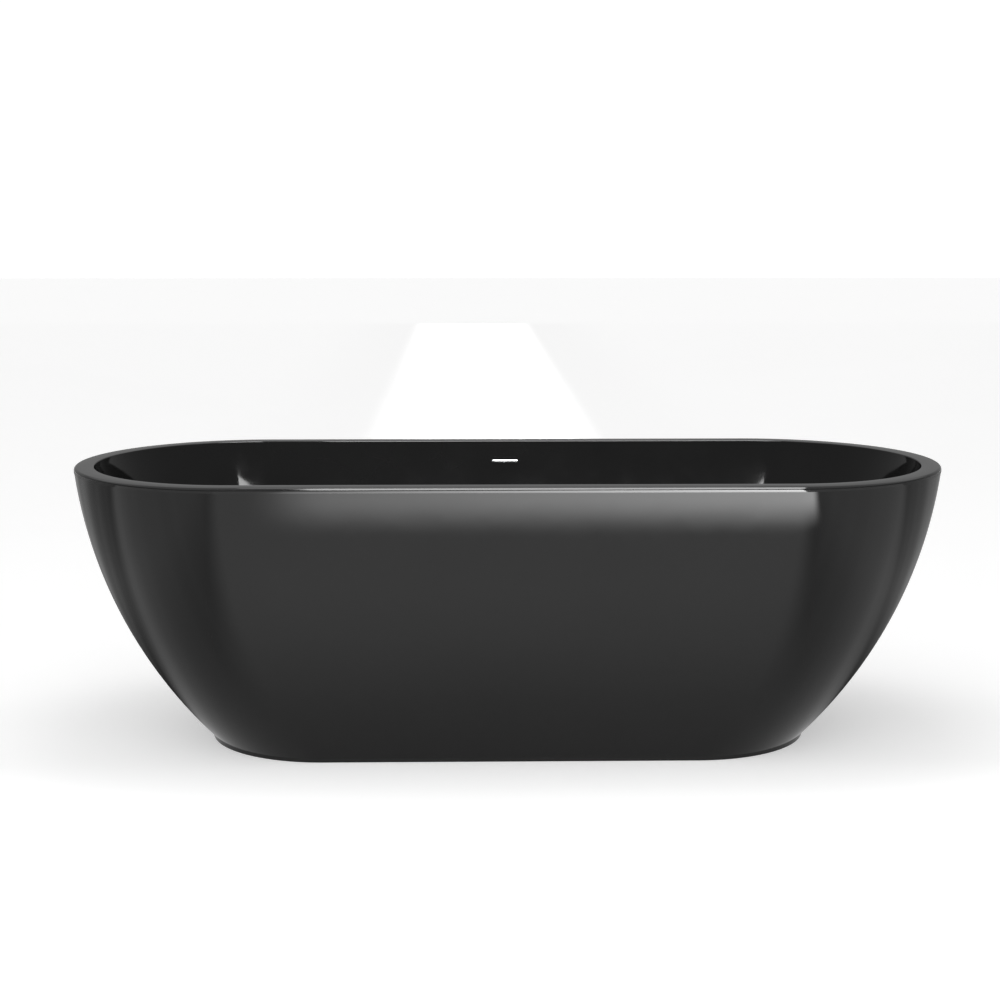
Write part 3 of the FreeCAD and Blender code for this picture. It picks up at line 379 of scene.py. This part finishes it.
def moveOval(old, new, count):
    # the round end scales about the end of the straight side and moves out with it
    oldCentre, newCentre = old["length"] - old["curve"], new["length"] - new["curve"]
    widen, lift = new["width"] / old["width"], new["z"] - old["z"]
    edge = oldCentre * (1 - 0.3 / ovalQuality["sideSteps"])
    mesh = bmesh.from_edit_mesh(bpy.context.object.data)
    ring = [vertex for vertex in mesh.verts if vertex.index >= count]
    side = {vertex.index for vertex in ring if vertex.co.x < edge}
    selectVertices(lambda co, number: number in side)
    bpy.ops.transform.resize(value=(newCentre / oldCentre, widen, 1), center_override=(0, 0, old["z"]))
    bpy.ops.transform.translate(value=(0, 0, lift))
    selectVertices(lambda co, number: number >= count and number not in side)
    bpy.ops.transform.resize(value=(new["curve"] / old["curve"], widen, 1),
                             center_override=(oldCentre, 0, old["z"]))
    bpy.ops.transform.translate(value=(newCentre - oldCentre, 0, lift))


def growOval(piece, first, outlines):
    # one ring of faces for each outline in turn
    old, ringSize = first, ovalQuality["arcSteps"] + 1 + ovalQuality["sideSteps"]
    for new in outlines:
        count = len(bmesh.from_edit_mesh(piece.data).verts)
        selectVertices(lambda co, number: number >= count - ringSize)
        bpy.ops.mesh.extrude_region_move()
        moveOval(old, new, count)
        old = new


def mirrorOval(piece):
    bpy.ops.object.mode_set(mode="OBJECT")
    applyModifier(piece, "MIRROR", use_axis=(True, True, False), use_clip=True, merge_threshold=0.0001)


def leaningSize(z, top, topHeight, lean, arc):
    # half size at height z on an arc that leans outwards towards its top
    drop = topHeight - z + arc * sin(radians(lean))
    return top - arc * cos(radians(lean)) + sqrt(arc ** 2 - drop ** 2)


shell = {
    "endLean": 6.8, "endArc": 0.898,        # degrees off upright at the rim, radius of the end profile
    "sideLean": 7.5, "sideArc": 2.290,
    "endCurve": 0.338, "footCurve": 0.236,  # length of the rounded end at the rim and at the foot
    "wall": 0.006,
    "levels": 44,
}


def shellOutline(z):
    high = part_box("outer_shell")[1]
    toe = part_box("plinth_ring")[1].z
    share = (z - toe) / (high.z - toe)
    return outlineSize(
        leaningSize(z, high.x, high.z, shell["endLean"], shell["endArc"]),
        leaningSize(z, high.y, high.z, shell["sideLean"], shell["sideArc"]),
        shell["footCurve"] + (shell["endCurve"] - shell["footCurve"]) * share, z)


def makeShell():
    print("outer shell")
    low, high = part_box("outer_shell")
    heights = [low.z + (high.z - low.z) * step / shell["levels"] for step in range(shell["levels"] + 1)]
    outlines = [shellOutline(z) for z in heights]
    piece = startOval("outerShellSkin", outlines[0])
    growOval(piece, outlines[0], outlines[1:])
    mirrorOval(piece)
    activate(piece)
    bpy.ops.object.mode_set(mode="EDIT")
    bpy.ops.mesh.select_all(action="SELECT")
    bpy.ops.mesh.normals_make_consistent(inside=False)
    bpy.ops.object.mode_set(mode="OBJECT")
    applyModifier(piece, "SOLIDIFY", thickness=shell["wall"], offset=-1, use_even_offset=True)
    finishPiece(piece, finishes["shell_acrylic"], "tub", "shell_acrylic", "outer_shell")


footRing = {"width": 0.030, "edge": 0.0010, "edgeSteps": 4}


def makeFootRing():
    print("foot ring")
    low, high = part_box("plinth_ring")
    edge, width = footRing["edge"], footRing["width"]
    outer = shellOutline(high.z)
    steps = footRing["edgeSteps"]
    rings = []
    for step in range(steps + 1):
        turned = pi / 2 * step / steps
        rings.append(inset(outer, edge * (1 - sin(turned)), low.z + edge * (1 - cos(turned))))
    rings += [inset(outer, 0, high.z), inset(outer, width, high.z),
              inset(outer, width, low.z), rings[0]]
    piece = startOval("footRingBand", rings[0])
    growOval(piece, rings[0], rings[1:])
    mirrorOval(piece)
    finishPiece(piece, finishes["plinth_acrylic"], "tub", "plinth_acrylic", "plinth_ring")


basin = {
    "rimWidth": 0.038, "rimDepth": 0.010, "rimCurve": 0.338,
    "edgeRadius": 0.006, "lipRadius": 0.002,
    "endLean": 12.0, "endArc": 0.980,
    "sideLean": 8.5, "sideArc": 1.760,
    "topCurve": 0.300, "floorCurve": 0.205,
    "floorHeight": 0.115, "floorInset": 0.060, "floorRise": 0.070,
    "wall": 0.008,
    "wallLevels": 36, "bendSteps": 16, "roundSteps": 8,
    "wasteHole": 0.026,
}
overflow = {
    "drop": 0.044, "slotLength": 0.048, "slotHeight": 0.005,
    "coverLength": 0.056, "coverHeight": 0.0056, "coverDepth": 0.003, "standOff": 0.004,
    "pegRadius": 0.0018, "pegPlace": 0.019, "pegLength": 0.016, "edge": 0.0009,
    "edgeSteps": 4, "pegSteps": 32,
}


def basinOutline(z):
    share = (z - basin["floorHeight"]) / (rimTop - basin["floorHeight"])
    return outlineSize(
        leaningSize(z, halfLength - basin["rimWidth"], rimTop, basin["endLean"], basin["endArc"]),
        leaningSize(z, halfWidth - basin["rimWidth"], rimTop, basin["sideLean"], basin["sideArc"]),
        basin["floorCurve"] + (basin["topCurve"] - basin["floorCurve"]) * share, z)


def basinSkin(outset):
    # from the rim down to the floor; outset 0 is the inner face, outset wall the outer one
    floor, rise, steps = basin["floorHeight"], basin["floorRise"], basin["bendSteps"]
    start = rimTop - basin["lipRadius"] if outset == 0 else rimTop - basin["rimDepth"]
    levels = basin["wallLevels"]
    rings = []
    for step in range(levels + 1):
        z = start + (floor + rise - start) * step / levels
        rings.append(inset(basinOutline(z), -outset))
    for step in range(1, steps + 1):
        turned = pi / 2 * (1 - step / steps)
        z = floor + rise * (1 - cos(turned))
        rings.append(inset(basinOutline(z), basin["floorInset"] * (1 - sin(turned)) - outset))
    for ring in rings[levels + 1:]:
        ring["z"] -= outset
    return rings


def lipRings():
    # rolls from the flat rim over into the basin wall
    radius, steps = basin["lipRadius"], basin["roundSteps"]
    wallTop = basinOutline(rimTop - radius)
    rings = []
    for step in range(steps):
        turned = pi / 2 * step / steps
        rings.append(inset(wallTop, -radius * (1 - sin(turned)), rimTop - radius * (1 - cos(turned))))
    return rings


def rimRings():
    # underside, upright edge and the rounding over to the flat top
    radius, steps = basin["edgeRadius"], basin["roundSteps"]
    edge = outlineSize(halfLength, halfWidth, basin["rimCurve"], rimTop - basin["rimDepth"])
    rings = [edge]
    for step in range(steps + 1):
        turned = pi / 2 * step / steps
        rings.append(inset(edge, radius * (1 - cos(turned)), rimTop - radius * (1 - sin(turned))))
    return rings


def makeBasin():
    print("basin and rim")
    wall, hole = basin["wall"], basin["wasteHole"]
    under = basinSkin(wall)[::-1]
    inside = basinSkin(0)
    floor = basin["floorHeight"]
    straight = 0.01 * mm     # the round hole keeps a straight side too short to see
    lowHole = outlineSize(hole + straight, hole, hole, floor - wall)
    highHole = outlineSize(hole + straight, hole, hole, floor)
    piece = startOval("basinAndRim", lowHole)
    growOval(piece, lowHole, under + rimRings() + lipRings() + inside + [highHole, lowHole])
    mirrorOval(piece)
    cutOverflowSlot(piece)
    finishPiece(piece, finishes["basin_acrylic"], "tub", "basin_acrylic", "inner_basin")


def wallAtOverflow():
    # place on the basin's inner face and the wall's lean there
    z = rimTop - overflow["drop"]
    topDrop = basin["sideArc"] * sin(radians(basin["sideLean"]))
    lean = asin((overflow["drop"] + topDrop) / basin["sideArc"])
    return Vector((0, basinOutline(z)["width"], z)), lean


def leanWithWall():
    # turns what is selected in edit mode from upright to the wall's slope, and sets it in place
    place, lean = wallAtOverflow()
    bpy.ops.transform.rotate(value=lean, orient_axis="X", center_override=(0, 0, 0))
    bpy.ops.transform.translate(value=place)


def cutOverflowSlot(piece):
    clearSelection()
    bpy.ops.mesh.primitive_cube_add(size=1, location=(0, 0, 0))
    cutter = bpy.context.object
    cutter.name = "slotCutter"
    bpy.ops.object.mode_set(mode="EDIT")
    bpy.ops.mesh.select_all(action="SELECT")
    bpy.ops.transform.resize(value=(overflow["slotLength"], 6 * basin["wall"], overflow["slotHeight"]))
    leanWithWall()
    bpy.ops.object.mode_set(mode="OBJECT")
    applyModifier(piece, "BOOLEAN", operation="DIFFERENCE", object=cutter, solver="EXACT")
    bpy.data.objects.remove(cutter)


def makeOverflowCover():
    print("overflow cover")
    clearSelection()
    bpy.ops.mesh.primitive_cube_add(size=1, location=(0, 0, 0))
    piece = bpy.context.object
    piece.name = "overflowBar"
    bpy.ops.object.mode_set(mode="EDIT")
    bpy.ops.mesh.select_all(action="SELECT")
    depth, standOff = overflow["coverDepth"], overflow["standOff"]
    bpy.ops.transform.resize(value=(overflow["coverLength"], depth, overflow["coverHeight"]))
    bpy.ops.transform.translate(value=(0, -(standOff + depth / 2), 0))
    bpy.ops.mesh.select_all(action="SELECT")
    bpy.ops.mesh.bevel(offset=overflow["edge"], segments=overflow["edgeSteps"], affect="EDGES")
    for side in (-1, 1):
        middle = -standOff + overflow["pegLength"] / 2 - depth / 4
        bpy.ops.mesh.primitive_cylinder_add(
            vertices=overflow["pegSteps"], radius=overflow["pegRadius"],
            depth=overflow["pegLength"] + depth / 2,
            location=(side * overflow["pegPlace"], middle, 0), rotation=(pi / 2, 0, 0))
    bpy.ops.mesh.select_all(action="SELECT")
    leanWithWall()
    bpy.ops.object.mode_set(mode="OBJECT")
    finishPiece(piece, finishes["chrome"], "tub", "chrome", "overflow_cover")


wasteFittings = {
    "steps": 96,
    "flangeEdge": 0.0010, "sleeveRadius": 0.023, "sleeveLength": 0.028, "bore": 0.020,
    "hubRadius": 0.008, "hubBore": 0.005, "hubHeight": 0.008, "spokeWidth": 0.003, "spokes": 4,
    "capEdge": 0.0008, "stemRadius": 0.003,
    "capHollow": 0.001, "capSide": 0.0022, "capStep": 0.0002,
    "capSteps": 24, "capFullness": 0.8,     # below 1 makes the crown flatter and its edge rounder
}


def turnPiece(name, *profiles):
    # each profile is a list of (radius, height), turned about the upright axis ring by ring
    clearSelection()
    piece = None
    for points in profiles:
        radius, z = points[0]
        bpy.ops.mesh.primitive_circle_add(
            vertices=wasteFittings["steps"], radius=radius, location=(0, 0, 0))
        if piece is None:
            piece = bpy.context.object
            piece.name = name
            bpy.ops.object.mode_set(mode="EDIT")
            bpy.ops.mesh.select_all(action="SELECT")
        bpy.ops.transform.translate(value=(0, 0, z))
        for newRadius, newZ in points[1:]:
            bpy.ops.mesh.extrude_region_move(TRANSFORM_OT_translate={"value": (0, 0, newZ - z)})
            wider = newRadius / radius
            bpy.ops.transform.resize(value=(wider, wider, 1), center_override=(0, 0, newZ))
            radius, z = newRadius, newZ
    return piece


def roundCorner(radius, z, size, fromAngle, steps=5):
    # quarter circle about (radius, z), anticlockwise from fromAngle in degrees
    points = []
    for step in range(steps + 1):
        angle = radians(fromAngle + 90 * step / steps)
        points.append((radius + size * cos(angle), z + size * sin(angle)))
    return points


def makeFlange():
    print("waste flange")
    low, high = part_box("waste_flange")
    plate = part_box("waste_upper_seal")[1].z
    outer, edge, bore = high.x, wasteFittings["flangeEdge"], wasteFittings["bore"]
    sleeve, bottom = wasteFittings["sleeveRadius"], plate - wasteFittings["sleeveLength"]
    ring = [(bore, bottom), (sleeve, bottom), (sleeve, plate), (outer, plate)]
    ring += roundCorner(outer - edge, high.z - edge, edge, 0)
    ring += roundCorner(bore + edge, high.z - edge, edge, 90)
    ring.append(ring[0])
    hubBore, hub = wasteFittings["hubBore"], wasteFittings["hubRadius"]
    hubTop = low.z + wasteFittings["hubHeight"]
    centre = [(hubBore, low.z), (hub, low.z), (hub, hubTop), (hubBore, hubTop), (hubBore, low.z)]
    piece = turnPiece("wasteRing", ring, centre)
    start, end = (hubBore + hub) / 2, (bore + sleeve) / 2
    for spoke in range(wasteFittings["spokes"]):
        bpy.ops.mesh.primitive_cube_add(size=1, location=(0, 0, 0))
        bpy.ops.transform.resize(value=(end - start, wasteFittings["spokeWidth"], hubTop - low.z))
        bpy.ops.transform.translate(value=((start + end) / 2, 0, (low.z + hubTop) / 2))
        turned = spoke * 2 * pi / wasteFittings["spokes"]
        bpy.ops.transform.rotate(value=turned, orient_axis="Z", center_override=(0, 0, 0))
    finishPiece(piece, finishes["chrome"], "tub", "chrome", "waste_flange")


def makeCap():
    print("plug cap")
    low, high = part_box("plug_cap")
    outer, stem, edge = high.x, wasteFittings["stemRadius"], wasteFittings["capEdge"]
    hollow, side = low.z + wasteFittings["capHollow"], low.z + wasteFittings["capSide"]
    steps, reach = wasteFittings["capSteps"], outer - wasteFittings["capStep"]
    axis = 0.001 * mm     # a ring this small is merged into one point
    points = [(axis, hollow), (stem, hollow), (stem, low.z),
              (outer - edge, low.z), (outer, low.z + edge)]
    for step in range(steps + 1):
        turned = pi / 2 * step / steps
        height = side + (high.z - side) * sin(turned) ** wasteFittings["capFullness"]
        points.append((max(axis, reach * cos(turned)), height))
    piece = turnPiece("plugCap", points)
    finishPiece(piece, finishes["chrome"], "plug", "chrome", "plug_cap")


room = {
    "floorSide": 60.0, "floorTone": 0.80, "floorDrop": 0.0002,
    # painted light: the floor glows, more towards the front, which lifts the tub's shadow on it
    "floorGlow": 0.44, "frontGlow": 0.54, "frontFrom": (-0.24, -0.44),   # glow changes over this y
    "skyTone": 0.28, "highTone": 0.90, "highFrom": (0.36, 0.55),         # z of a ray's direction
    "backdropTone": 1.05,
    "domePower": 1.22, "domeSpread": 85.0, "domeTilt": (-8, -20),
}
# painted reflections round the tub, seen only by the gloss: dark flags past both ends, bright sheets
# along the sides
cards = {
    "side": 30.0, "lift": 0.0001,
    "flagFrom": (0.33, 0.60), "flagSkew": 0.30, "flagTurn": (-0.12, 0.16),
    "flagNear": 0.84, "flagFar": 0.34, "flagStreak": 0.10, "streaks": 3.0, "streakFrom": (0.35, 0.70),
    # painted shadow in the reflections: the reflected floor turns darker next to the tub, at the ends
    # and beside the sides
    "reflectedShadow": (0.68, 1.45), "reflectedShadowNear": 0.34, "reflectedShadowFar": 0.92,       # darker next to the tub
    "sideReflectedShadow": (0.24, 0.90), "sideReflectedShadowDepth": 0.28, "backFrom": (0.0, 0.2),
    # the sheets paint a bright reflected band along the top of the side walls
    "sheetStart": 1.18, "sheetFull": 1.56, "sheetTone": 5.5, "sheetFar": 4.0, "sheetFarTone": 10.4,
    "sheetLeft": (-0.60, -0.38), "sheetRight": (0.90, 1.06), "sheetRise": 0.62,
    "fanLeft": 0.10, "fanRight": 0.20,
}
softboxes = {
    "overheadBox": {"place": (0, 0.2, 3.0), "size": (1.6, 0.9), "power": 12.0, "towards": (0, 0, 0)},
    "frontBox": {"place": (0.35, -2.69, 3.30), "size": (2.1, 4.3), "power": 340.0,
                 "towards": (0.35, -halfWidth, rimTop)},
}
view = {
    "place": (-0.0897, -3.6424, 1.0156), "pan": 1.149, "dip": 8.566,
    "lens": 66.66, "sensor": 36,
}


def makeFloor():
    print("floor")
    clearSelection()
    bpy.ops.mesh.primitive_plane_add(size=room["floorSide"], location=(0, 0, -room["floorDrop"]))
    floor = bpy.context.object
    floor.name = "studioFloor"
    bpy.ops.object.transform_apply(location=True, rotation=True, scale=True)
    sheet = NodeSheet("studioPaper")
    sheet.set(IOR=1.3, Roughness=0.9, Emission_Color=(1, 1, 1, 1))
    along = sheet.add("ShaderNodeSeparateXYZ", {"Vector": sheet.place}).outputs["Y"]
    # painted light: the floor glows, more at the front, lifting the shade round the tub
    glow = sheet.spread(along, room["floorGlow"], room["frontGlow"], *room["frontFrom"])
    sheet.use(Emission_Strength=glow)
    tone = room["floorTone"]
    sheet.use(Base_Color=sheet.colours(sheet.noise(3, 3), (0.3, grey(tone * 0.99)), (0.7, grey(tone))))
    floor.data.materials.append(sheet.material)


def makeCards():
    # one glowing plane just over the floor that only reflections see; it paints what the gloss sees
    # round the tub
    print("reflection cards")
    clearSelection()
    bpy.ops.mesh.primitive_plane_add(size=cards["side"], location=(0, 0, cards["lift"]))
    card = bpy.context.object
    card.name = "reflectionCards"
    bpy.ops.object.transform_apply(location=True, rotation=True, scale=True)
    card.visible_camera = card.visible_diffuse = False
    card.visible_shadow = card.visible_transmission = False
    sheet = NodeSheet("cardGlow")
    sheet.nodes.remove(sheet.shader)
    figure, fade = sheet.figure, sheet.fade
    axes = sheet.add("ShaderNodeSeparateXYZ", {"Vector": sheet.place}).outputs
    x, y = axes["X"], axes["Y"]
    across, along = figure("ABSOLUTE", y), figure("ABSOLUTE", x)

    # painted reflection of dark flags past the ends, with faint painted streaks that run outwards
    front = figure("MAXIMUM", figure("MULTIPLY", y, -1.0), 0.0)
    skewed = figure("SUBTRACT", along, figure("MULTIPLY", front, cards["flagSkew"]))
    flag = fade(skewed, *cards["flagFrom"])
    streak = sheet.add("ShaderNodeTexNoise", {
        "W": figure("ARCTAN2", y, x), "Scale": cards["streaks"], "Detail": 2.0,
    }, noise_dimensions="1D").outputs["Fac"]
    ripple = fade(streak, *cards["streakFrom"], -cards["flagStreak"] / 2, cards["flagStreak"] / 2)
    plain = fade(y, *cards["flagTurn"], cards["flagNear"], cards["flagFar"])
    # painted shadow: the flags turn darker next to the tub
    reflectedShadow = figure("MULTIPLY", fade(along, *cards["reflectedShadow"], 1.0, 0.0),
                 fade(y, *cards["flagTurn"], cards["reflectedShadowNear"], cards["reflectedShadowFar"]))
    flagTone = figure("MULTIPLY", figure("ADD", ripple, plain), figure("SUBTRACT", 1.0, reflectedShadow))

    # painted reflection of bright sheets along the sides: they fan out with distance, and at the back
    # the flags cover their ends
    fan = figure("SUBTRACT", across, cards["sheetStart"])
    fromLeft = figure("ADD", x, figure("MULTIPLY", fan, cards["fanLeft"]))
    fromRight = figure("SUBTRACT", x, figure("MULTIPLY", fan, cards["fanRight"]))
    width = figure("MULTIPLY", fade(fromLeft, *cards["sheetLeft"]),
                   fade(fromRight, *cards["sheetRight"], 1.0, 0.0))
    share = figure("MULTIPLY", fade(across, cards["sheetStart"], cards["sheetFull"]), width)
    backFlag = figure("MULTIPLY", flag, fade(y, *cards["backFrom"]))
    share = figure("MULTIPLY", share, figure("SUBTRACT", 1.0, backFlag))
    far = fade(across, cards["sheetFull"], cards["sheetFar"], cards["sheetTone"], cards["sheetFarTone"])
    rise = figure("ADD", 1.0, figure("MULTIPLY", x, cards["sheetRise"]))

    def glow(strength):
        return sheet.add("ShaderNodeEmission", {"Strength": strength}).outputs[0]

    def blend(amount, under, over):
        return sheet.add("ShaderNodeMixShader", {0: amount, 1: under, 2: over}).outputs[0]

    clear = sheet.add("ShaderNodeBsdfTransparent").outputs[0]
    # painted shadow: a dark share over the reflected floor beside the tub's sides
    sideReflectedShadow = fade(across, *cards["sideReflectedShadow"], cards["sideReflectedShadowDepth"], 0.0)
    layers = blend(sideReflectedShadow, clear, glow(0.0))
    layers = blend(flag, layers, glow(flagTone))
    layers = blend(share, layers, glow(figure("MULTIPLY", far, rise)))
    sheet.links.new(layers, sheet.nodes["Material Output"].inputs["Surface"])
    card.data.materials.append(sheet.material)


def makeWorld():
    # the camera sees plain white, the gloss a grey room with a lighter ceiling, the rest a grey room
    print("backdrop")
    world = bpy.data.worlds.new("studio")
    bpy.context.scene.world = world
    world.use_nodes = True
    nodes, links = world.node_tree.nodes, world.node_tree.links
    greyRoom = nodes["Background"]
    greyRoom.inputs["Color"].default_value = (*grey(room["skyTone"]), 1)
    white, glossRoom = nodes.new("ShaderNodeBackground"), nodes.new("ShaderNodeBackground")
    white.inputs["Color"].default_value = glossRoom.inputs["Color"].default_value = (1, 1, 1, 1)
    white.inputs["Strength"].default_value = room["backdropTone"]

    ceiling, direction = nodes.new("ShaderNodeMapRange"), nodes.new("ShaderNodeSeparateXYZ")
    links.new(nodes.new("ShaderNodeTexCoord").outputs["Generated"], direction.inputs[0])
    links.new(direction.outputs["Z"], ceiling.inputs["Value"])
    ceiling.inputs["From Min"].default_value, ceiling.inputs["From Max"].default_value = room["highFrom"]
    ceiling.inputs["To Min"].default_value = room["skyTone"]
    ceiling.inputs["To Max"].default_value = room["highTone"]
    links.new(ceiling.outputs[0], glossRoom.inputs["Strength"])

    rays = nodes.new("ShaderNodeLightPath")
    seen = greyRoom.outputs[0]
    for kind, background in (("Is Glossy Ray", glossRoom), ("Is Camera Ray", white)):
        which = nodes.new("ShaderNodeMixShader")
        links.new(rays.outputs[kind], which.inputs["Fac"])
        links.new(seen, which.inputs[1])
        links.new(background.outputs[0], which.inputs[2])
        seen = which.outputs[0]
    links.new(seen, nodes["World Output"].inputs["Surface"])


def addSoftbox(name):
    box = softboxes[name]
    clearSelection()
    bpy.ops.object.light_add(type="AREA", location=box["place"])
    light = bpy.context.object
    light.name = name
    light.data.shape = "RECTANGLE"
    light.data.size, light.data.size_y = box["size"]
    light.data.energy = box["power"]
    aim = Vector(box["towards"]) - Vector(box["place"])
    light.rotation_euler = aim.to_track_quat("-Z", "Y").to_euler()
    light.visible_camera = False
    return light


def makeLights():
    print("lights")
    clearSelection()
    leanY, leanX = room["domeTilt"]
    bpy.ops.object.light_add(
        type="SUN", location=(0, 0, 3), rotation=(-radians(leanX), radians(leanY), 0))
    dome = bpy.context.object
    dome.name = "overheadDome"
    dome.data.energy, dome.data.angle = room["domePower"], radians(room["domeSpread"])
    dome.visible_camera = dome.visible_glossy = False
    addSoftbox("overheadBox")
    addSoftbox("frontBox").visible_diffuse = False     # only reflections show it


def makeCamera():
    print("camera")
    clearSelection()
    bpy.ops.object.camera_add(
        location=view["place"],
        rotation=(radians(90 - view["dip"]), 0, -radians(view["pan"])))
    camera = bpy.context.object
    camera.data.lens = view["lens"]
    camera.data.sensor_width = view["sensor"]
    bpy.context.scene.camera = camera


bpy.context.scene.view_settings.view_transform = "Standard"
makeCamera()
makeWorld()
makeLights()
makeFloor()
makeCards()
dressNodes()
makeShell()
makeFootRing()
makeBasin()
makeOverflowCover()
makeFlange()
makeCap()
